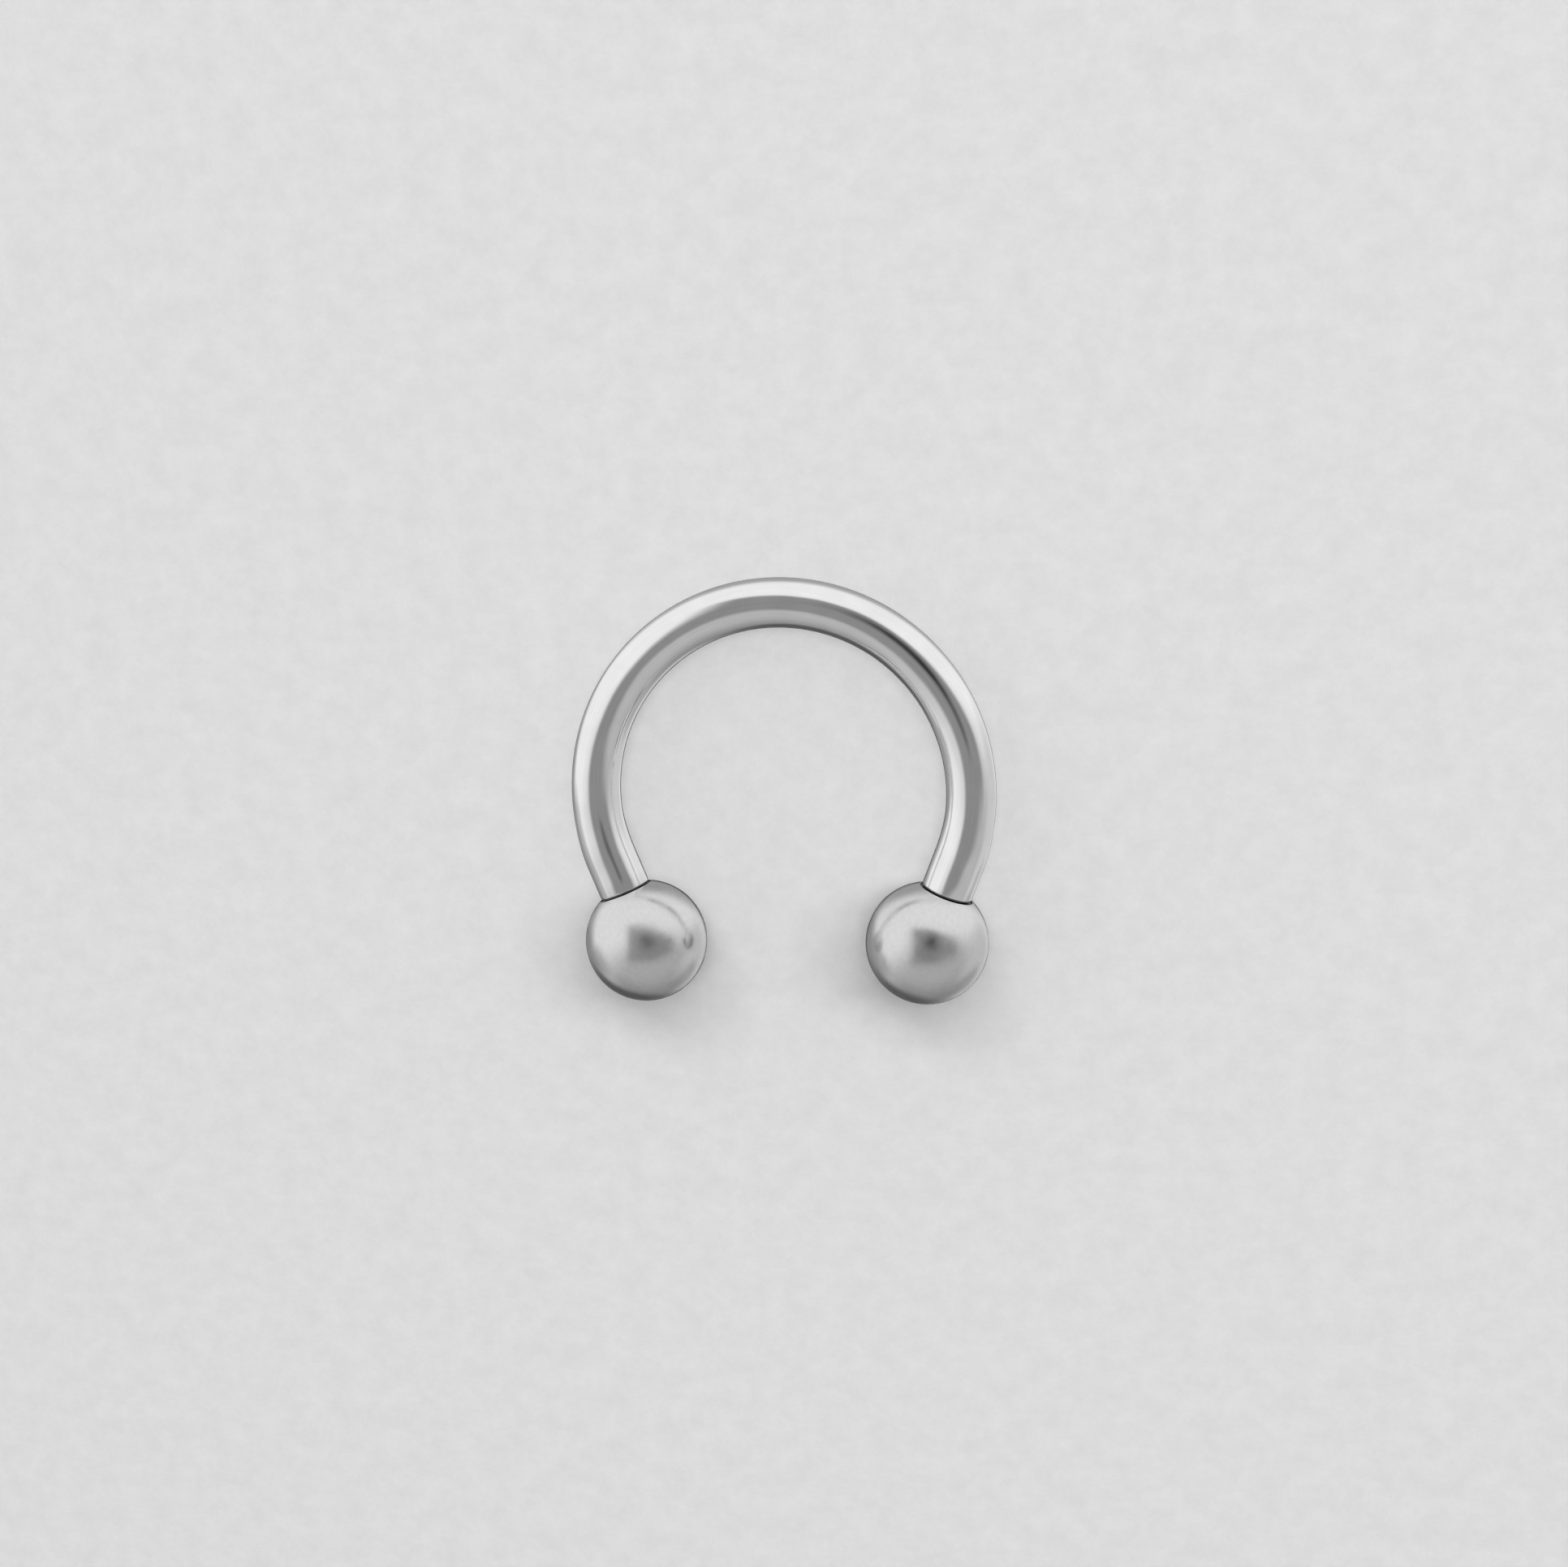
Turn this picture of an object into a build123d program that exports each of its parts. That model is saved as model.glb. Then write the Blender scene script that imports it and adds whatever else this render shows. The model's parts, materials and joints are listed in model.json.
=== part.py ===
from build123d import *
import math
import os

# Circular barbell: a horseshoe of round wire with a ball screwed on each end.
# Millimetres, +Z up. It lies on its side: both balls and the top of the arch touch Z = 0,
# X runs along the line through the two balls, and +Y points to the top of the arch.
# The origin is at the middle of the footprint.

# Wire and its curve
wire_diameter = 1.2
inner_diameter = 8.0
even_half_angle = 95.0      # degrees from the top of the arch to where the wire starts to swell
arc_half_angle = 111.4      # degrees from the top of the arch to where a leg runs straight
end_swell = 0.06            # how much thicker the wire is along its legs
leg_length = 0.885          # straight stretch from the bend to the shoulder
shoulder_round = 0.1        # rounded edge where the wire ends

# Threaded post that carries a ball
shoulder_width = 0.15       # step in radius from the wire down to the thread's crests
thread_pitch = 0.225
thread_depth = 0.12
shortest_neck = 0.1         # plain neck between the shoulder and the first thread
tip_chamfer = 0.08

# Ball
ball_diameter = 3.0
seat_depth = 0.045          # how far the seat's floor lies below its rim
seat_side_clearance = 0.03  # between the wire and the wall of the seat
seat_face_clearance = 0.02  # between the shoulder and the floor of the seat
bore_clearance = 0.02       # between the thread's crests and the wall of the bore
bore_end_clearance = 0.1    # between the tip of the post and the end of the bore
back_wall = 0.95            # metal left behind the end of the bore

# Worked out from the sizes above
wire_radius = wire_diameter / 2
leg_radius = wire_radius + end_swell / 2
ball_radius = ball_diameter / 2
bend_radius = inner_diameter / 2 + wire_radius
seat_radius = leg_radius + seat_side_clearance
seat_rim_height = math.sqrt(ball_radius**2 - seat_radius**2)
seat_floor_height = seat_rim_height - seat_depth
post_radius = wire_radius - shoulder_width
bore_radius = post_radius + bore_clearance
bore_depth = seat_floor_height + ball_radius - back_wall
post_length = bore_depth + seat_face_clearance - bore_end_clearance


def on_bend(degrees):
    """The centreline's point that many degrees from the top of the arch, and its direction there.

    Both are in the plane of the ring about the centre of the bend, in the right half, with the
    top of the arch on +Y."""
    turn = math.radians(degrees)
    point = Vector(bend_radius * math.sin(turn), bend_radius * math.cos(turn))
    return point, Vector(math.cos(turn), -math.sin(turn))


swell_start, swell_direction = on_bend(even_half_angle)
bend_end, leg_direction = on_bend(arc_half_angle)
shoulder = bend_end + leg_direction * leg_length
ball_centre = shoulder + leg_direction * (seat_floor_height + seat_face_clearance)

# The ring leans because the balls are thicker than the wire: the tilt that brings the lowest
# point of each ball and of the arch to the same floor
tilt = math.asin((ball_radius - wire_radius) / (bend_radius - ball_centre.Y))
rear_edge = bend_radius * math.cos(tilt) + wire_radius
front_edge = ball_centre.Y * math.cos(tilt) - ball_radius
ring_plane = Plane(
    origin=(0, -(rear_edge + front_edge) / 2, wire_radius + bend_radius * math.sin(tilt)),
    x_dir=(1, 0, 0),
    z_dir=(0, math.sin(tilt), math.cos(tilt)),
)


def in_ring(point, side):
    """The point of the right half, or its mirror image on the left, in the part's frame."""
    return ring_plane.from_local_coords(Vector(side * point.X, point.Y))


def wire_plane(point, direction, side):
    """A plane square to the wire at the point, whose normal runs along the wire to the ball."""
    return Plane(
        origin=in_ring(point, side),
        x_dir=ring_plane.z_dir,
        z_dir=in_ring(direction, side) - ring_plane.origin,
    )


def post_outline():
    """Half section of a threaded post as (distance from its axis, distance from the shoulder)."""
    root_radius = post_radius - thread_depth
    turns = int((post_length - shortest_neck - tip_chamfer) / thread_pitch)
    neck = post_length - tip_chamfer - turns * thread_pitch
    outline = [(0, -shoulder_width), (root_radius, -shoulder_width), (root_radius, neck)]
    for number in range(turns):
        root = neck + number * thread_pitch
        outline.append((post_radius, root + thread_pitch / 2))
        outline.append((root_radius, root + thread_pitch))
    outline.append((root_radius - tip_chamfer, post_length))
    outline.append((0, post_length))
    return outline


# Horseshoe bar: even wire round the arch, then on each side the swelling end of the bend,
# the straight leg and the threaded post
with BuildPart() as horseshoe_bar:
    with BuildLine(ring_plane):
        CenterArc((0, 0), bend_radius, 90 - even_half_angle, 2 * even_half_angle)
    with BuildSketch(wire_plane(swell_start, swell_direction, 1)):
        Circle(wire_radius)
    sweep()
    for side in (-1, 1):
        with BuildLine(ring_plane):
            swell_angle = arc_half_angle - even_half_angle
            CenterArc((0, 0), bend_radius, 90 - side * even_half_angle, -side * swell_angle)
        with BuildSketch(wire_plane(swell_start, swell_direction, side)):
            Circle(wire_radius)
        with BuildSketch(wire_plane(bend_end, leg_direction, side)):
            Circle(leg_radius)
        sweep(multisection=True)
        with BuildSketch(wire_plane(bend_end, leg_direction, side)):
            Circle(leg_radius)
        extrude(amount=leg_length)
    wire_ends = horseshoe_bar.faces().filter_by(GeomType.PLANE)
    fillet(wire_ends.edges(), min(shoulder_round, shoulder_width * 0.8))
    for side in (-1, 1):
        leg = wire_plane(shoulder, leg_direction, side)
        section = Plane(leg.origin, x_dir=leg.x_dir, z_dir=leg.x_dir.cross(leg.z_dir))
        with BuildSketch(section):
            with BuildLine():
                Polyline(post_outline(), close=True)
            make_face()
        revolve(axis=Axis(leg.origin, leg.z_dir))

horseshoe_bar.part.label = "horseshoe_bar"

# Balls: a sphere with its seat and blind bore facing back up the leg
balls = {}
for name, side in (("ball_left", -1), ("ball_right", 1)):
    with BuildPart(wire_plane(ball_centre, leg_direction, side)) as ball:
        Sphere(ball_radius)
        with Locations(Location((0, 0, -seat_rim_height), (180, 0, 0))):
            CounterBoreHole(bore_radius, seat_radius, seat_depth, seat_depth + bore_depth)
    ball.part.label = name
    balls[name] = ball.part

os.makedirs("parts", exist_ok=True)
export_step(horseshoe_bar.part, "parts/horseshoe_bar.step")
for name, part in balls.items():
    export_step(part, f"parts/{name}.step")
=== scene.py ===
"""A circular barbell of polished steel, lying on its side on a pale floor in soft studio light."""

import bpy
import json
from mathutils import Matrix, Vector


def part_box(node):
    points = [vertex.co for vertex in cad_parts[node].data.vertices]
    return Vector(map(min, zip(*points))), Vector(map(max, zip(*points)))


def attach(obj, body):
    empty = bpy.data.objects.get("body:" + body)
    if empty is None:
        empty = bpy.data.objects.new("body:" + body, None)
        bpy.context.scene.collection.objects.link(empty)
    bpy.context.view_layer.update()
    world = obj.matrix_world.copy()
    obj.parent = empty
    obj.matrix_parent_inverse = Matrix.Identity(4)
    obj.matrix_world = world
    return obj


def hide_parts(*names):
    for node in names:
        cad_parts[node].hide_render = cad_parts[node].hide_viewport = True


bl_info = {
    "name": "Circular Barbell",
    "version": (1, 0, 0),
    "blender": (4, 5, 0),
    "location": "3D View > Sidebar > Barbell",
    "description": "Builds a horseshoe wire with a ball screwed on each end, its finish and its stage",
    "category": "Add Mesh",
}

import json
import math
from typing import NamedTuple

import bpy
import numpy as np
from bpy.props import FloatProperty, FloatVectorProperty, PointerProperty
from bpy.types import Operator, Panel, PropertyGroup
from mathutils import Matrix, Vector

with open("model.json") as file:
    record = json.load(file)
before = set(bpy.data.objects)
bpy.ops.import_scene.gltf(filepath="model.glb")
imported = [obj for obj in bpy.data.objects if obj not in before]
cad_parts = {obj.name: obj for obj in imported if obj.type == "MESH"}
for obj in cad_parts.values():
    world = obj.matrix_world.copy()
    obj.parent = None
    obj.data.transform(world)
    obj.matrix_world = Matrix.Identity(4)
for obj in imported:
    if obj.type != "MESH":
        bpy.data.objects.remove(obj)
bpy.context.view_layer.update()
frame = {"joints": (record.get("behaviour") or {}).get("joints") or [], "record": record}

MM = 0.001

# What the frame says of the ring: its mounts, its bodies and the axes of its legs
MOUNTS = {mount["name"]: mount for mount in frame["record"]["mounts"]}
WIRE_MOUNT = MOUNTS["wire_in_piercing"]
HOLLOW_MOUNT = MOUNTS["ring_hollow"]
BODY_NODES = frame["record"]["behaviour"]["bodies"]
BODY_AXES = {joint["child"]: Vector(joint["axis"]) for joint in frame["joints"]}
BALLS = {-1: "ball_left", 1: "ball_right"}
BALL_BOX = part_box(BALLS[1])

# The ring's centre and its own axes: to the right, up to the top of the arch, out of its plane
RING_CENTRE = Vector(HOLLOW_MOUNT["pos_m"])
RING_RIGHT = Vector((1, 0, 0))
RING_NORMAL = Vector(HOLLOW_MOUNT["axis"]).normalized()
RING_UP = RING_NORMAL.cross(RING_RIGHT)

# Rows and columns of the grids of points
ARCH_ROWS = 300
LEG_ROWS = 8
BAR_COLUMNS = 96
SPHERE_ROWS = 130
BALL_COLUMNS = 160
ROWS_PER_PITCH = 20
TIP_ARC_ROWS = 4

# Small forms of the post, of the hole in a ball and of their threads
THREAD_FLAT = 0.14  # of the height of a plain triangle, cut off its crest and off its root
SMALL_ROUND = 0.25  # radius at the neck's root and at the tip, of the neck and of the chamfer
LIP_ROUNDS_LEFT = 3  # lip rounds between the last row of the sphere and the seat's wall
TAPPED_DEPTH = 0.06 * MM  # of the thread in the wall of the bore
TAPPED_START = 0.05 * MM  # from the seat's floor to where that thread begins
BORE_LEAD = 0.15 * MM  # from the seat's floor to the first of the wall's even rows
BORE_FOOT = 0.1 * MM  # plain stretch at the end of the bore
BORE_FOOT_ROUND = 0.05 * MM

# Painted shade: a near-black colour laid in the seat's groove where shade falls, the roughness that
# goes with it, and the shares of that painted shade that faces and threads lose
SEAT_PAINTED_SHADE = (0.06, 0.06, 0.06)
SEAT_ROUGHNESS = 0.5
FACE_SHADE_LOSS = 0.75
THREAD_SHADE_LOSS = 0.6
LIP_FADE = 1.5  # lip rounds from the sphere's end to where the seat's painted shade begins, and again till it is full
FACE_START = 1.5  # seat depths from the sphere's end to where the seat gets lighter again
FACE_FADE = 2  # seat depths from there to where it is as light as it gets


def length(name, description, default):
    """A length that a user may change, in metres."""
    return FloatProperty(
        name=name, description=description, default=default, unit="LENGTH", precision=6, min=0
    )


def angle(name, description, degrees):
    """An angle that a user may change, given here in degrees."""
    return FloatProperty(
        name=name, description=description, default=math.radians(degrees), unit="ROTATION"
    )


def share(name, description, default):
    """A share from 0 to 1 that a user may change."""
    return FloatProperty(
        name=name, description=description, default=default, subtype="FACTOR", min=0, max=1
    )


def power(name, description, watts):
    """The power of a light that a user may change, in watts."""
    return FloatProperty(name=name, description=description, default=watts, unit="POWER", min=0)


def brightness(name, description, default):
    """How bright a part of the light tent is, which a user may change: 1 is as bright as white."""
    return FloatProperty(name=name, description=description, default=default, min=0)


def colour(name, description, default):
    """A colour that a user may change."""
    return FloatVectorProperty(
        name=name, description=description, default=default, subtype="COLOR", size=3, min=0, max=1
    )


class BarbellSizes(PropertyGroup):
    """Sizes of the wire, of its threaded ends and of the balls."""

    wire_diameter: length(
        "Wire", "Diameter of the round wire", 2 * WIRE_MOUNT["dims"]["r_mm"] * MM
    )
    hollow_diameter: length(
        "Hollow", "Inner diameter of the ring", 2 * HOLLOW_MOUNT["dims"]["r_mm"] * MM
    )
    even_half_angle: angle("Even half", "From the arch's top to where the wire swells", 95)
    end_swell: length("Swell", "How much thicker the wire is along its legs", 0.06 * MM)
    leg_length: length("Leg", "Straight stretch from the bend to the shoulder", 0.885 * MM)
    shoulder_round: length("Shoulder round", "Rounded edge where the wire ends", 0.1 * MM)
    shoulder_width: length("Shoulder step", "From the wire down to the thread's crests", 0.15 * MM)
    thread_pitch: length("Thread pitch", "Advance of the thread in one turn", 0.225 * MM)
    thread_depth: length("Thread depth", "From crest to root of the thread", 0.12 * MM)
    neck_length: length("Neck", "Plain neck between the shoulder and the thread", 0.12 * MM)
    tip_chamfer: length("Tip chamfer", "Chamfer on the tip of the post", 0.08 * MM)
    ball_diameter: length("Ball", "Diameter of a ball", round(BALL_BOX[1].x - BALL_BOX[0].x, 5))
    seat_depth: length("Seat depth", "Depth of the ball's seat below its rim", 0.045 * MM)
    seat_side_clearance: length("Seat side gap", "Gap between the wire and the seat", 0.03 * MM)
    seat_face_clearance: length("Seat face gap", "Gap under the shoulder", 0.02 * MM)
    seat_lip_round: length("Seat lip", "Rounded rim of the seat", 0.02 * MM)
    bore_clearance: length("Bore gap", "Gap round the thread's crests", 0.02 * MM)
    bore_end_clearance: length("Bore end gap", "Gap beyond the tip of the post", 0.1 * MM)
    back_wall: length("Back wall", "Metal behind the end of the bore", 0.95 * MM)


class BarbellFinish(PropertyGroup):
    """Colour and polish of the steel."""

    steel_colour: colour("Steel", "Reflected colour of the polished wire", (0.9, 0.9, 0.9))
    ball_colour: colour("Ball steel", "Reflected colour of the tumbled balls", (0.75, 0.75, 0.75))
    wire_roughness: share("Wire roughness", "How soft the wire's reflections are", 0.1)
    ball_roughness: share("Ball roughness", "How soft the balls' reflections are", 0.24)


class BarbellStudio(PropertyGroup):
    """Floor, light and camera."""

    floor_colour: colour("Floor", "Colour of the pale floor", (0.4, 0.4, 0.4))
    front_power: power("Front light", "Power of the soft light behind the camera", 4.6)
    strip_power: power("Strip light", "Power of the long light beyond the arch", 15.0)
    strip_height: angle("Strip height", "Angle of the strip light above the floor", 52)
    strip_turn: angle("Strip turn", "Turns the strip light from beyond the arch to the right", 24)
    bright_light: brightness("Bright side", "Light from beyond the arch", 0.92)
    far_light: brightness("Far side", "Light from low down beyond the arch", 0.0)
    front_light: brightness("Front side", "Light from in front of the balls", 0.49)
    side_light: brightness("Right side", "Light from low down on the right", 0.62)
    dark_light: brightness("Dark patches", "Light from the patches low down in front", 0.1)
    gap_light: brightness("Gap", "Light from the gap in the tent round the camera", 0.27)
    hood_light: brightness("Hood", "Light from round the camera's lens", 0.17)
    lens_light: brightness("Lens", "Light from the camera's lens and foot", 0.04)
    under_light: brightness("Under side", "Light from under the ring", 0.25)
    outline_light: brightness("Outline", "Light from straight under the ring, at its edges", 0.03)
    backdrop_light: brightness("Backdrop", "Light of the backdrop beyond the floor", 0.7)
    camera_distance: length("Distance", "From the middle of the ring to the camera", 60 * MM)
    camera_tilt: angle("Tilt", "Leans the camera from the ring's axis towards the arch", 9.98)
    camera_turn: angle("Turn", "Turns the camera from the ring's axis to the right", 9.01)
    camera_roll: angle("Roll", "Rolls the picture", 1.55)


def rounded(corners, radii, steps=6):
    """A line of corners with each inner corner replaced by a tangent arc of its own radius.

    For the unit directions a and b from a corner to its neighbours, the arc's centre lies on
    their bisector at radius / sin(half angle), and the arc is the blend of the two radii that
    reach its ends, weighted by the sines of the turned angle."""
    corners, radii = np.asarray(corners, float), np.asarray(radii, float)[:, None]
    middle = corners[1:-1]
    a = corners[:-2] - middle
    b = corners[2:] - middle
    a /= np.linalg.norm(a, axis=1)[:, None]
    b /= np.linalg.norm(b, axis=1)[:, None]
    half = np.arccos(np.clip((a * b).sum(1), -1, 1))[:, None] / 2
    reach = radii / np.tan(half)
    bisector = (a + b) / np.linalg.norm(a + b, axis=1)[:, None]
    centre = middle + bisector * radii / np.sin(half)
    first, last = middle + a * reach - centre, middle + b * reach - centre
    turned = np.pi - 2 * half[:, :, None]
    t = np.linspace(0, 1, steps)[None, :, None]
    arcs = (
        first[:, None] * np.sin((1 - t) * turned) + last[:, None] * np.sin(t * turned)
    ) / np.sin(turned)
    arcs = (centre[:, None] + arcs).reshape(-1, 2)
    return np.concatenate([corners[:1], arcs, corners[-1:]])


def smooth(x):
    """Rises from 0 to 1 as x does, level at both ends: 3x squared less 2x cubed."""
    x = np.clip(x, 0, 1)
    return x * x * (3 - 2 * x)


def thread(along, turn, pitch, start, end):
    """Height of a screw thread, from 0 at its root to 1 at its crest.

    A triangle wave of the distance along the axis in pitches less the turn round it, with its
    crest and root cut flat, faded in and out over a pitch at each end."""
    phase = (along / pitch - turn / (2 * np.pi)) % 1
    triangle = 1 - np.abs(2 * phase - 1)
    wave = np.clip((triangle - THREAD_FLAT) / (1 - 2 * THREAD_FLAT), 0, 1)
    return wave * smooth((along - start) / pitch) * smooth((end - along) / pitch)


def new_object(name, data):
    """A new object of the scene, at the origin."""
    made = bpy.data.objects.new(name, data)
    bpy.context.scene.collection.objects.link(made)
    return made


def aimed_object(name, data, axes, place):
    """A new object of the scene at a place, with its own X, Y and Z along the three axes."""
    made = new_object(name, data)
    turned = Matrix(axes).transposed().to_4x4()
    turned.translation = place
    made.matrix_world = turned
    return made


def closed_mesh(name, points, pattern, painted_shade):
    """A mesh of a grid of points whose columns go round and whose end rows are poles.

    points is rows by columns by 3. pattern is rows by columns + 1 by 2, in millimetres, the surface's
    own map, whose last column repeats the first one turn on. The last argument is each row's share of
    painted shade, the near-black colour that stands in for the shade in a seat's groove, from 0 in the
    open to 1 deep in the seat. A point's number is 1 plus its column plus the columns of all rows
    between it and the first pole, held within the poles'."""
    rows, columns = points.shape[:2]
    vertices = np.concatenate([points[0, :1], points[1:-1].reshape(-1, 3), points[-1, :1]])
    inner = np.meshgrid(np.arange(1, rows - 2), np.arange(columns), indexing="ij")
    row, column = (part.ravel() for part in inner)
    ring = np.arange(columns)
    first, last = np.ones_like(ring), np.full_like(ring, rows - 2)
    corners_of_faces = (
        ((row, column), (row, column + 1), (row + 1, column + 1), (row + 1, column)),
        ((first - 1, ring), (first, ring + 1), (first, ring)),
        ((last + 1, ring), (last, ring), (last, ring + 1)),
    )
    faces, maps = [], []
    for corners in corners_of_faces:
        numbers = [1 + (r - 1) * columns + c % columns for r, c in corners]
        faces += np.clip(np.stack(numbers, 1), 0, len(vertices) - 1).tolist()
        maps.append(np.stack([pattern[r, c] for r, c in corners], 1).reshape(-1, 2))
    mesh = bpy.data.meshes.new(name)
    mesh.from_pydata(vertices, [], faces)
    layer = mesh.uv_layers.new(name="surface_mm")
    layer.uv.foreach_set("vector", np.concatenate(maps).astype(np.float32).ravel())
    # Each point's share of the painted shade that stands in for the shade of the seat's groove
    shade_points = np.concatenate([painted_shade[:1], np.repeat(painted_shade[1:-1], columns), painted_shade[-1:]])
    shade_layer = mesh.attributes.new("painted_shade", "FLOAT", "POINT")
    shade_layer.data.foreach_set("value", shade_points.astype(np.float32))
    mesh.shade_smooth()
    mesh.validate()
    return new_object(name, mesh)


def faces_outwards(piece):
    """Turns the faces of a closed piece to point outwards, if its volume comes out negative."""
    mesh = piece.data
    mesh.calc_loop_triangles()
    corners = np.empty(len(mesh.loop_triangles) * 3, np.int32)
    mesh.loop_triangles.foreach_get("vertices", corners)
    places = np.empty(len(mesh.vertices) * 3, np.float32)
    mesh.vertices.foreach_get("co", places)
    a, b, c = places.reshape(-1, 3)[corners.reshape(-1, 3)].transpose(1, 0, 2).astype(float)
    if (a * np.cross(b, c)).sum() < 0:
        mesh.flip_normals()


def body_of(cad_node):
    """Name of the body that carries a node of the frame."""
    return next(body for body, members in BODY_NODES.items() if cad_node in members)


def place_piece(piece, cad_node, material):
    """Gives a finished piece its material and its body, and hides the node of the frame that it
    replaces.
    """
    faces_outwards(piece)
    piece.data.materials.append(material)
    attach(piece, body_of(cad_node))
    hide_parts(cad_node)


def bend_radius(sizes):
    """Radius of the wire's centreline round the arch."""
    return (sizes.hollow_diameter + sizes.wire_diameter) / 2


def leg_radius(sizes):
    """Radius of the wire along its legs."""
    return (sizes.wire_diameter + sizes.end_swell) / 2


def post_radius(sizes):
    """Radius of the crests of the thread."""
    return sizes.wire_diameter / 2 - sizes.shoulder_width


def seat_radius(sizes):
    """Radius of the wall of a ball's seat."""
    return leg_radius(sizes) + sizes.seat_side_clearance


def seat_heights(sizes):
    """Heights of the rim and of the floor of a ball's seat above the ball's centre."""
    rim = math.sqrt((sizes.ball_diameter / 2) ** 2 - seat_radius(sizes) ** 2)
    return rim, rim - sizes.seat_depth


def bore_bottom(sizes):
    """Height of the end of a ball's bore above the ball's centre."""
    return sizes.back_wall - sizes.ball_diameter / 2


def post_length(sizes):
    """Length of the threaded post, from the shoulder to its tip."""
    bore_depth = seat_heights(sizes)[1] - bore_bottom(sizes)
    return bore_depth + sizes.seat_face_clearance - sizes.bore_end_clearance


def leg_axis(side):
    """Direction of the leg on the left (-1) or on the right (1), from the bend to its tip."""
    return BODY_AXES[body_of(BALLS[side])]


def leg_turn():
    """Angle from the top of the arch to where a leg runs straight, from the leg's direction."""
    along = leg_axis(1)
    return math.atan2(-along.dot(RING_UP), along.dot(RING_RIGHT))


def ball_centre(sizes, side):
    """Centre of the ball on the left (-1) or on the right (1)."""
    bend, turn = bend_radius(sizes), leg_turn()
    reach = sizes.leg_length + seat_heights(sizes)[1] + sizes.seat_face_clearance
    right = bend * math.sin(turn) + reach * math.cos(turn)
    up = bend * math.cos(turn) - reach * math.sin(turn)
    return RING_CENTRE + RING_RIGHT * (side * right) + RING_UP * up


def post_profile(sizes):
    """Rows of (distance from the shoulder, radius) from the end of the bend to the post's tip.

    Straight runs joined by tangent arcs: leg, shoulder, neck and tip. The stretch of the
    thread has evenly spaced rows, to which the thread's height is added."""
    wire, end = leg_radius(sizes), post_length(sizes)
    root = post_radius(sizes) - sizes.thread_depth
    neck, chamfer = sizes.neck_length, sizes.tip_chamfer
    half_leg = sizes.leg_length / 2
    leg = np.linspace((-sizes.leg_length, wire), (-half_leg, wire), LEG_ROWS)[:-1]
    shoulder = rounded(
        [(-half_leg, wire), (0, wire), (0, root), (neck, root)],
        [sizes.shoulder_round, SMALL_ROUND * neck],
    )
    rows = int(ROWS_PER_PITCH * (end - chamfer - neck) / sizes.thread_pitch)
    turned = np.linspace((neck, root), (end - chamfer, root), rows)
    tip = rounded(
        [(end - chamfer, root), (end, root - chamfer), (end, 0)],
        [SMALL_ROUND * chamfer],
        TIP_ARC_ROWS,
    )
    return np.concatenate([leg, shoulder, turned[1:], tip[1:]])


def bar_profile(sizes):
    """Rows of (distance along the centreline from the top of the arch, radius), tip to tip.

    The wire is even round the arch and grows smoothly near both ends of the bend. The post's
    profile follows on the right, and its mirror image comes first on the left."""
    bend, turn, even = bend_radius(sizes), leg_turn(), sizes.even_half_angle
    along = np.linspace(-bend * turn, bend * turn, ARCH_ROWS)[1:-1]
    swollen = smooth((np.abs(along) / bend - even) / (turn - even))
    arch = np.stack([along, (sizes.wire_diameter + sizes.end_swell * swollen) / 2], 1)
    post = post_profile(sizes) + (bend * turn + sizes.leg_length, 0)
    return np.concatenate([post[::-1] * (-1, 1), arch, post])


def bar_surface(sizes):
    """Points of the horseshoe bar, row by row from the tip of the left post to that of the right.

    A row is a circle square to the centreline: the centreline's point plus the radius times (cosine of
    the turn times the outward direction, plus sine times the ring's normal). The centreline is an arc
    about the ring's centre, carried on straight past its ends. Painted shade darkens the rounded
    shoulder as it turns in towards the seat's groove, and its face and the thread get less of it."""
    bend, turn = bend_radius(sizes), leg_turn()
    along, radius = bar_profile(sizes).T
    turns = np.linspace(0, 2 * np.pi, BAR_COLUMNS + 1)
    past = np.abs(along) - (bend * turn + sizes.leg_length)
    ridge = thread(
        past[:, None],
        np.sign(along)[:, None] * turns,
        sizes.thread_pitch,
        sizes.neck_length,
        post_length(sizes) - sizes.tip_chamfer / 2,
    )
    radii = radius[:, None] + sizes.thread_depth * ridge

    bent = np.clip(along / bend, -turn, turn)
    straight = along - bent * bend
    right = bend * np.sin(bent) + straight * np.cos(bent)
    up = bend * np.cos(bent) - straight * np.sin(bent)
    around = radii * np.cos(turns)
    local = np.stack(
        [
            right[:, None] + around * np.sin(bent)[:, None],
            up[:, None] + around * np.cos(bent)[:, None],
            radii * np.sin(turns),
        ],
        2,
    )
    points = np.array(RING_CENTRE) + local @ np.array([RING_RIGHT, RING_UP, RING_NORMAL])
    pattern = np.stack(np.meshgrid(along, sizes.wire_diameter / 2 * turns, indexing="ij"), 2)

    # Painted shade on the shoulder as it turns in towards the seat, less on its face and on the thread
    drop = (leg_radius(sizes) - radius) * (past > -sizes.leg_length) / sizes.shoulder_round
    face = FACE_SHADE_LOSS * smooth(drop - 1)
    screw = THREAD_SHADE_LOSS * smooth(past / sizes.neck_length)
    return points[:, :-1], pattern / MM, smooth(drop) * (1 - face) * (1 - screw)


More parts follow.
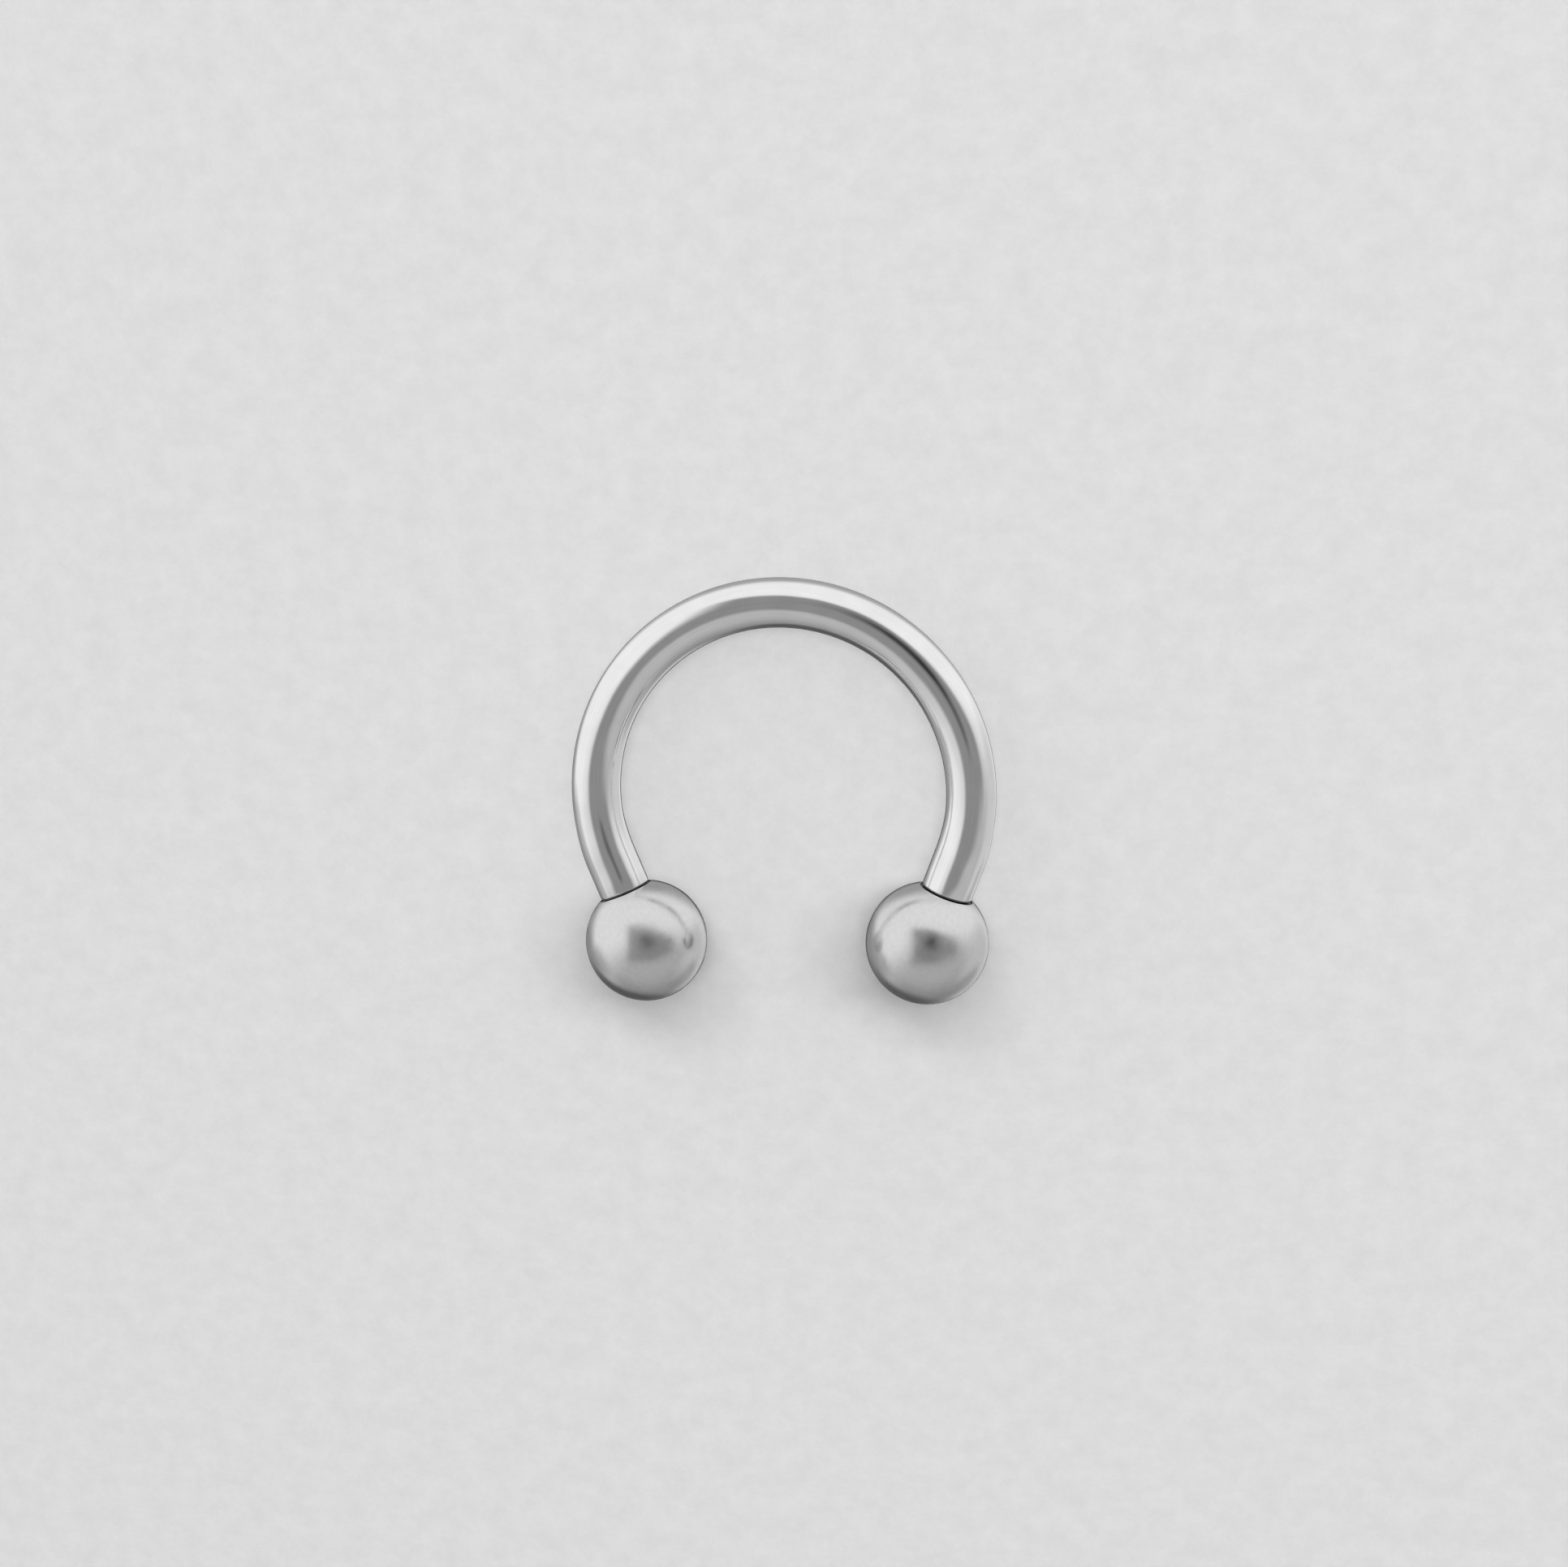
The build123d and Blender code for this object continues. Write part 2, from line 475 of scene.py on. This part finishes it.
def ball_profile(sizes):
    """Rows of (height above the ball's centre, radius) from the ball's back to the bore's end.

    A circular arc of the ball's radius up to the seat, then the seat's lip, wall and floor and
    the bore, as straight runs joined by small tangent arcs."""
    ball, lip = sizes.ball_diameter / 2, sizes.seat_lip_round
    seat, bore = seat_radius(sizes), post_radius(sizes) + sizes.bore_clearance
    rim, floor = seat_heights(sizes)
    bottom = bore_bottom(sizes)
    brink = math.asin(seat / ball) + LIP_ROUNDS_LEFT * lip / ball
    sweep = np.linspace(np.pi, brink, SPHERE_ROWS)
    sphere = ball * np.stack([np.cos(sweep), np.sin(sweep)], 1)
    seat_rows = rounded(
        [sphere[-1], (rim, seat), (floor, seat), (floor, bore), (floor - BORE_LEAD, bore)],
        [lip, lip / 2, lip],
    )
    rows = int(ROWS_PER_PITCH * (floor - bottom - BORE_LEAD - BORE_FOOT) / sizes.thread_pitch)
    wall = np.linspace((floor - BORE_LEAD, bore), (bottom + BORE_FOOT, bore), rows)
    end = rounded([(bottom + BORE_FOOT, bore), (bottom, bore), (bottom, 0)], [BORE_FOOT_ROUND])
    return np.concatenate([sphere[:-1], seat_rows, wall[1:], end[1:]])


def ball_surface(sizes, side):
    """Points of a ball, row by row from its back, over its face and down its bore.

    The profile turned about the leg's direction, with the tapped hole's thread, of the same hand as
    the post's, cut outwards from the wall of the bore. Painted shade darkens the seat past its lip,
    and its floor and the thread get less of it."""
    heights, radius = ball_profile(sizes).T
    turns = np.linspace(0, 2 * np.pi, BALL_COLUMNS + 1)
    floor, bottom = seat_heights(sizes)[1], bore_bottom(sizes)
    depth = floor - heights
    past_sphere = np.arange(len(heights)) >= SPHERE_ROWS
    groove = thread(
        depth[:, None],
        -turns,
        sizes.thread_pitch,
        TAPPED_START,
        floor - bottom - BORE_FOOT,
    )
    radii = radius[:, None] + TAPPED_DEPTH * groove * past_sphere[:, None]

    axis = -leg_axis(side)
    level = np.broadcast_to(heights[:, None], radii.shape)
    local = np.stack([radii * np.cos(turns), radii * np.sin(turns), level], 2)
    centre = np.array(ball_centre(sizes, side))
    points = centre + local @ np.array([RING_NORMAL, axis.cross(RING_NORMAL), axis])
    pattern = np.stack(np.meshgrid(heights, sizes.ball_diameter / 2 * turns, indexing="ij"), 2)

    # Painted shade in the seat past its lip, less on its floor and on the thread
    steps = np.hypot(np.diff(heights, prepend=heights[0]), np.diff(radius, prepend=radius[0]))
    way = np.cumsum(steps * past_sphere)
    painted_dark = smooth(way / (LIP_FADE * sizes.seat_lip_round) - 1)
    face = FACE_SHADE_LOSS * smooth((way / sizes.seat_depth - FACE_START) / FACE_FADE)
    tapped = past_sphere & (depth > TAPPED_START) & (heights > bottom + BORE_FOOT)
    screw = THREAD_SHADE_LOSS * smooth(depth / sizes.thread_pitch) * tapped
    return points[:, :-1], pattern / MM, painted_dark * (1 - face) * (1 - screw)


def set_inputs(tree, made, inputs):
    """Sets or links the inputs of a node, given by name or number."""
    for key, value in dict(inputs).items():
        if isinstance(value, bpy.types.NodeSocket):
            tree.links.new(value, made.inputs[key])
        else:
            made.inputs[key].default_value = value


def node(tree, kind, inputs=(), **settings):
    """A new node with its settings made and its inputs set or linked."""
    made = tree.nodes.new(kind)
    for key, value in settings.items():
        setattr(made, key, value)
    set_inputs(tree, made, inputs)
    return made


def ramp(tree, value, low, high, at_low=0.0, at_high=1.0):
    """A value that goes smoothly from at_low to at_high as another goes from low to high."""
    made = node(
        tree,
        "ShaderNodeMapRange",
        {"Value": value, "From Min": low, "From Max": high, "To Min": at_low, "To Max": at_high},
        interpolation_type="SMOOTHSTEP",
    )
    return made.outputs["Result"]


def mixed(tree, factor, low, high, data_type="FLOAT"):
    """A value, or with RGBA a colour, between low and high."""
    made = node(
        tree, "ShaderNodeMix", {"Factor": factor, "A": low, "B": high}, data_type=data_type
    )
    return made.outputs["Result"]


def shades(tree, factor, plain, amounts):
    """A colour that goes from a darker to a lighter shade, two amounts of a plain colour."""
    low, high = ((*(min(amount * part, 1) for part in plain), 1) for amount in amounts)
    return mixed(tree, factor, low, high, "RGBA")


class Cloudiness(NamedTuple):
    """A cloudy pattern."""

    scale: float  # of the coordinates, so for places in metres the patches in a metre
    detail: float  # layers of finer patches upon the first
    roughness: float = 0.5  # how strong the finer ones are


def noise(tree, coordinates, cloudiness):
    """A cloudy pattern from 0 to 1 at the given coordinates."""
    inputs = {
        "Vector": coordinates,
        "Scale": cloudiness.scale,
        "Detail": cloudiness.detail,
        "Roughness": cloudiness.roughness,
    }
    return node(tree, "ShaderNodeTexNoise", inputs).outputs["Fac"]


def bumps(tree, layers, strength=1.0):
    """The normal of bumps laid upon each other, each a pattern and its height in metres."""
    normal = None
    for pattern, height in layers:
        bump = node(
            tree, "ShaderNodeBump", {"Height": pattern, "Distance": height, "Strength": strength}
        )
        if normal:
            tree.links.new(normal, bump.inputs["Normal"])
        normal = bump.outputs["Normal"]
    return normal


def new_material(name):
    """An empty node material: (material, its nodes, its surface shader)."""
    material = bpy.data.materials.new(name)
    material.use_nodes = True
    return material, material.node_tree, material.node_tree.nodes["Principled BSDF"]


class Grain(NamedTuple):
    """The marks that a way of polishing leaves."""

    along: float  # polishing lines in a millimetre along the surface's own map
    around: float  # and round it
    swell: float  # height in metres of long, low waves


WIRE_GRAIN = Grain(0.7, 22, 0.04 * MM)
BALL_GRAIN = Grain(9, 9, 0.012 * MM)
STEEL_LINES = Cloudiness(1, 3)
STEEL_CLOUDS = Cloudiness(1500, 4)
STEEL_WAVES = Cloudiness(380, 1)
STEEL_RIPPLES = Cloudiness(1300, 1)
STEEL_CONTRAST = (0.3, 0.7)
STEEL_SHADES = (0.95, 1.04)
STEEL_SOFTNESS = (0.75, 1.3)  # of the plain roughness
RIPPLE_HEIGHT = 0.08  # of the height of the long waves
LINE_HEIGHT = 0.00015 * MM


def polished_steel(name, steel, roughness, grain):
    """Polished steel, soft and cloudy in its polish, with fine lines and a slightly uneven face.

    Its tint and roughness follow the clouds, and where the piece carries painted shade they give way
    to a near-black painted shade and the higher roughness of the seat."""
    material, tree, shader = new_material(name)
    place = node(tree, "ShaderNodeTexCoord").outputs["Object"]
    surface = node(tree, "ShaderNodeUVMap", uv_map="surface_mm").outputs["UV"]
    stretch = {"Vector": surface, "Scale": (grain.along, grain.around, 1)}
    stretched = node(tree, "ShaderNodeMapping", stretch).outputs["Vector"]
    lines = noise(tree, stretched, STEEL_LINES)
    clouds = noise(tree, place, STEEL_CLOUDS)
    waves = noise(tree, place, STEEL_WAVES)
    ripples = noise(tree, place, STEEL_RIPPLES)
    # How much of the painted shade of the seat's groove this point gets
    seat_shade = node(tree, "ShaderNodeAttribute", attribute_name="painted_shade").outputs["Fac"]

    spots = ramp(tree, mixed(tree, 0.5, clouds, lines), *STEEL_CONTRAST)
    tint = shades(tree, spots, steel, STEEL_SHADES)
    softness = (roughness * amount for amount in STEEL_SOFTNESS)
    soft = ramp(tree, clouds, *STEEL_CONTRAST, *softness)
    swell = grain.swell
    layers = ((waves, swell), (ripples, RIPPLE_HEIGHT * swell), (lines, LINE_HEIGHT))
    set_inputs(
        tree,
        shader,
        {
            # Near-black painted shade in the seat's groove, mixed in by that share
            "Base Color": mixed(tree, seat_shade, tint, (*SEAT_PAINTED_SHADE, 1), "RGBA"),
            "Metallic": 1.0,
            "Roughness": mixed(tree, seat_shade, soft, SEAT_ROUGHNESS),
            "Normal": bumps(tree, layers),
        },
    )
    return material


PAPER_CLOUDS = Cloudiness(1400, 7, 0.85)
PAPER_GRAIN = Cloudiness(5200, 4)
PAPER_CONTRAST = (0.25, 0.75)
PAPER_SHADES = (0.94, 1.06)
PAPER_ROUGHNESS = 0.9
PAPER_GLOSS = 0.1
PAPER_GRAIN_HEIGHT = 0.01 * MM
PAPER_GRAIN_STRENGTH = 0.15


def pale_floor(studio):
    """Matt pale paper with faint mottling and grain."""
    material, tree, shader = new_material("pale_floor")
    place = node(tree, "ShaderNodeTexCoord").outputs["Object"]
    mottling = ramp(tree, noise(tree, place, PAPER_CLOUDS), *PAPER_CONTRAST)
    grain = noise(tree, place, PAPER_GRAIN)
    set_inputs(
        tree,
        shader,
        {
            "Base Color": shades(tree, mottling, studio.floor_colour, PAPER_SHADES),
            "Roughness": PAPER_ROUGHNESS,
            "Specular IOR Level": PAPER_GLOSS,
            "Normal": bumps(tree, [(grain, PAPER_GRAIN_HEIGHT)], PAPER_GRAIN_STRENGTH),
        },
    )
    return material


FLOOR_HALF_WIDTH = 0.6
FLOOR_STEPS = 8


def floor_surface():
    """A level square about the origin: each point is its two coordinates and no height."""
    ticks = np.linspace(-FLOOR_HALF_WIDTH, FLOOR_HALF_WIDTH, FLOOR_STEPS + 1)
    x, y = np.meshgrid(ticks, ticks, indexing="ij")
    points = np.stack([x, y, 0 * x], 2).reshape(-1, 3)
    row, column = np.indices((FLOOR_STEPS, FLOOR_STEPS))
    first = (row * len(ticks) + column).ravel()
    faces = np.stack([first, first + len(ticks), first + len(ticks) + 1, first + 1], 1)
    mesh = bpy.data.meshes.new("floor")
    mesh.from_pydata(points, [], faces.tolist())
    return new_object("floor", mesh)


def camera_axes(studio):
    """Directions to the right and up in the picture and towards the camera.

    The ring's own axes turned about its up, leaned towards its arch and rolled."""
    turn, tilt, roll = studio.camera_turn, studio.camera_tilt, studio.camera_roll
    right = RING_RIGHT * math.cos(turn) - RING_NORMAL * math.sin(turn)
    level = RING_RIGHT * math.sin(turn) + RING_NORMAL * math.cos(turn)
    up = RING_UP * math.cos(tilt) - level * math.sin(tilt)
    back = RING_UP * math.sin(tilt) + level * math.cos(tilt)
    return (
        right * math.cos(roll) - up * math.sin(roll),
        right * math.sin(roll) + up * math.cos(roll),
        back,
    )


class Edge(NamedTuple):
    """A soft edge in the light tent, by how far a looked-at direction reaches along another."""

    along: tuple  # that other direction, as (right, up, back) from the picture to the camera
    outside: float  # the reach at which nothing shows
    inside: float  # the reach at which all shows


class TentPart(NamedTuple):
    """A part of the light tent, laid over the parts before it."""

    light: str  # the setting of the studio that gives its brightness
    edges: tuple  # it shows inside all of them
    strength: float = 1.0  # how much of what it covers it hides


def beyond(right, up):
    """The direction away from the camera that has these two parts in the picture."""
    return right, up, -math.sqrt(1 - right**2 - up**2)


def beside_camera(right, up):
    """The direction to the camera, leaned by these two slopes in the picture."""
    return tuple(Vector((right, up, 1)).normalized())


def round_part(light, middle, wide, narrow, strength=1.0):
    """A part that starts at wide degrees from its middle and shows in full at narrow degrees."""
    edge = Edge(middle, math.cos(math.radians(wide)), math.cos(math.radians(narrow)))
    return TentPart(light, (edge,), strength)


# Directions in the picture
TO_RIGHT = (1, 0, 0)
UPWARDS = (0, 1, 0)
TO_CAMERA = (0, 0, 1)
FROM_CAMERA = (0, 0, -1)
LENS = beside_camera(0.08, 0.06)
FOOT = beside_camera(0.155, -0.11)

# The front of the tent is full on the camera's side, and fades to this share of it below
FRONT_FADE = Edge(TO_CAMERA, -0.8, 0.5)
FADED_FRONT = 0.5

# The gap's left, right, lower and upper sides, its two cut corners and its edge at the back
GAP_EDGES = (
    Edge(TO_RIGHT, -0.64, -0.4),
    Edge(TO_RIGHT, 0.93, 0.69),
    Edge(UPWARDS, -0.7, -0.5),
    Edge(UPWARDS, 0.58, 0.38),
    Edge((0.45, 0.89, 0), 0.6, 0.34),
    Edge((0.5, -0.87, 0), 0.8, 0.5),
    Edge(TO_CAMERA, 0.2, 0.3),
)

# All parts in the order in which they are laid
TENT_PARTS = (
    TentPart("bright_light", (Edge((-0.3, 1, -0.25), -0.8, 0.15),)),
    TentPart("far_light", (Edge((0, 0.6, -0.8), 0.65, 0.98),), 0.58),
    round_part("side_light", beyond(0.86, -0.3), 45, 15),
    round_part("dark_light", beyond(-0.22, -0.57), 32, 13),
    round_part("dark_light", beyond(-0.86, -0.4), 22, 5, 0.5),
    round_part("dark_light", beyond(-0.55, -0.16), 38, 8, 0.75),
    round_part("dark_light", beyond(0.62, -0.62), 22, 8, 0.4),
    TentPart("gap_light", GAP_EDGES),
    TentPart("hood_light", (Edge(LENS, 0.94, 0.985),)),
    TentPart("lens_light", (Edge(FOOT, 0.99, 0.9985),), 0.4),
    TentPart("lens_light", (Edge(LENS, 0.98, 0.997),)),
    TentPart("under_light", (Edge(FROM_CAMERA, 0.88, 0.95),)),
    TentPart("outline_light", (Edge(FROM_CAMERA, 0.92, 0.97),)),
)


def light_tent(studio):
    """A world that is a light tent, which lights the floor and which the steel reflects.

    It is bright beyond the arch, dimmer low down there, and grey in front of the balls. Low down
    it is lighter on the right, with dark patches at the front. A grey gap with two cut corners
    surrounds the camera, whose hood, lens and foot are darker. Under the ring it is grey, and
    dark right behind it, which draws the outlines of the steel. Each edge is a smooth step of
    how far the looked-at direction reaches along a fixed one. Directions are the picture's,
    turned into the ring's frame once. The camera itself sees one plain backdrop."""
    axes = camera_axes(studio)
    world = bpy.data.worlds.new("light_tent")
    bpy.context.scene.world = world
    world.use_nodes = True
    tree = world.node_tree
    look = node(tree, "ShaderNodeTexCoord").outputs["Generated"]

    def inside(edge, least=0.0, most=1.0):
        along = sum((axis * part for axis, part in zip(axes, edge.along)), Vector())
        reach = node(
            tree, "ShaderNodeVectorMath", {0: look, 1: tuple(along)}, operation="DOT_PRODUCT"
        )
        return ramp(tree, reach.outputs["Value"], edge.outside, edge.inside, least, most)

    tent = inside(FRONT_FADE, FADED_FRONT * studio.front_light, studio.front_light)
    for part in TENT_PARTS:
        shown = inside(part.edges[0], most=part.strength)
        for edge in part.edges[1:]:
            both = {0: shown, 1: inside(edge)}
            shown = node(tree, "ShaderNodeMath", both, operation="MULTIPLY").outputs["Value"]
        tent = mixed(tree, shown, tent, getattr(studio, part.light))
    seen = node(tree, "ShaderNodeLightPath").outputs["Is Camera Ray"]
    strength = mixed(tree, seen, tent, studio.backdrop_light)
    white = (1, 1, 1, 1)
    set_inputs(tree, tree.nodes["Background"], {"Color": white, "Strength": strength})


FRONT_SIZE = (0.35, 0.35)
STRIP_SIZE = (1.6, 0.3)
LIGHT_DISTANCE = 1.0


def soft_light(name, direction, size, watts):
    """A soft light in the given direction from the ring, which the steel doesn't reflect."""
    data = bpy.data.lights.new(name, "AREA")
    data.shape = "RECTANGLE"
    data.size, data.size_y = size
    data.energy = watts
    level = Vector((direction.y, -direction.x, 0)).normalized()
    axes = (level, direction.cross(level), direction)
    light = aimed_object(name, data, axes, RING_CENTRE + direction * LIGHT_DISTANCE)
    light.visible_camera = False
    light.visible_glossy = False
    return light


def front_and_strip_lights(studio):
    """Two soft lights that lay the shadows on the floor.

    One is behind the camera, so that its shadows hide behind the ring. The other is a long one
    beyond the arch, level from side to side. Only the balls block it, because the photograph
    shows their shadows and none of the arch."""
    soft_light("front_light", camera_axes(studio)[2], FRONT_SIZE, studio.front_power)
    turn, height = studio.strip_turn, studio.strip_height
    direction = Vector(
        (math.sin(turn) * math.cos(height), math.cos(turn) * math.cos(height), math.sin(height))
    )
    strip = soft_light("strip_light", direction, STRIP_SIZE, studio.strip_power)
    blockers = bpy.data.collections.new("strip_light_blockers")
    for name in BALLS.values():
        blockers.objects.link(bpy.data.objects[name + "_polished"])
    strip.light_linking.blocker_collection = blockers


# The photograph's size in pixels, the pixel of the ring's centre in it, and its scale there
PICTURE_WIDTH = 1932
PICTURE_HEIGHT = 1931
RING_PIXEL_ACROSS = 963.15
RING_PIXEL_DOWN = 975.54
PIXELS_PER_METRE = 50795
SENSOR_WIDTH = 36.0  # in millimetres, as the lens is
CLIP_START = MM
CLIP_END = 10


def photo_camera(studio):
    """A camera that sees the ring as the photograph does, with the ring's centre at its pixel."""
    axes = camera_axes(studio)
    data = bpy.data.cameras.new("camera")
    data.sensor_width = SENSOR_WIDTH
    data.lens = PIXELS_PER_METRE * studio.camera_distance / PICTURE_WIDTH * SENSOR_WIDTH
    data.shift_x = (PICTURE_WIDTH / 2 - RING_PIXEL_ACROSS) / PICTURE_WIDTH
    data.shift_y = (RING_PIXEL_DOWN - PICTURE_HEIGHT / 2) / PICTURE_WIDTH
    data.clip_start = CLIP_START
    data.clip_end = CLIP_END
    place = RING_CENTRE + axes[2] * studio.camera_distance
    bpy.context.scene.camera = aimed_object("camera", data, axes, place)


class BARBELL_OT_make_bar(Operator):
    """Builds the bent wire with its shoulders and threaded posts"""

    bl_idname = "barbell.make_bar"
    bl_label = "Make the horseshoe bar"

    def execute(self, context):
        sizes, finish = context.scene.barbell_sizes, context.scene.barbell_finish
        bar = closed_mesh("horseshoe_wire", *bar_surface(sizes))
        steel = polished_steel(
            "polished_wire", finish.steel_colour, finish.wire_roughness, WIRE_GRAIN
        )
        place_piece(bar, "horseshoe_bar", steel)
        return {"FINISHED"}


class BARBELL_OT_make_balls(Operator):
    """Builds the two balls with their seats and tapped holes"""

    bl_idname = "barbell.make_balls"
    bl_label = "Make the balls"

    def execute(self, context):
        sizes, finish = context.scene.barbell_sizes, context.scene.barbell_finish
        steel = polished_steel(
            "tumbled_ball", finish.ball_colour, finish.ball_roughness, BALL_GRAIN
        )
        for side, name in BALLS.items():
            ball = closed_mesh(name + "_polished", *ball_surface(sizes, side))
            place_piece(ball, name, steel)
        return {"FINISHED"}


class BARBELL_OT_set_stage(Operator):
    """Lays the pale floor, hangs the light tent and two soft lights and sets up the camera"""

    bl_idname = "barbell.set_stage"
    bl_label = "Set the stage"

    def execute(self, context):
        studio = context.scene.barbell_studio
        floor = floor_surface()
        floor.data.materials.append(pale_floor(studio))
        floor.visible_glossy = False
        light_tent(studio)
        front_and_strip_lights(studio)
        photo_camera(studio)
        context.scene.view_settings.view_transform = "Standard"
        return {"FINISHED"}


class BARBELL_PT_panel(Panel):
    """Lists the sizes, the finish, the stage and the steps that build them"""

    bl_idname = "BARBELL_PT_panel"
    bl_label = "Circular Barbell"
    bl_space_type = "VIEW_3D"
    bl_region_type = "UI"
    bl_category = "Barbell"

    def draw(self, context):
        for name, group in SETTINGS.items():
            box = self.layout.box()
            for key in group.__annotations__:
                box.prop(getattr(context.scene, name), key)
        for step in STEPS:
            self.layout.operator(step.bl_idname)


SETTINGS = {
    "barbell_sizes": BarbellSizes,
    "barbell_finish": BarbellFinish,
    "barbell_studio": BarbellStudio,
}
STEPS = (BARBELL_OT_make_bar, BARBELL_OT_make_balls, BARBELL_OT_set_stage)
CLASSES = (*SETTINGS.values(), *STEPS, BARBELL_PT_panel)


def register():
    """Registers the classes and gives the scene its settings."""
    for made in CLASSES:
        bpy.utils.register_class(made)
    for name, group in SETTINGS.items():
        setattr(bpy.types.Scene, name, PointerProperty(type=group))


def unregister():
    """Takes the settings and the classes away again."""
    for name in SETTINGS:
        delattr(bpy.types.Scene, name)
    for made in reversed(CLASSES):
        bpy.utils.unregister_class(made)


def main():
    """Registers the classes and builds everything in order."""
    register()
    bpy.ops.barbell.make_bar()
    bpy.ops.barbell.make_balls()
    bpy.ops.barbell.set_stage()


if __name__ == "__main__":
    main()
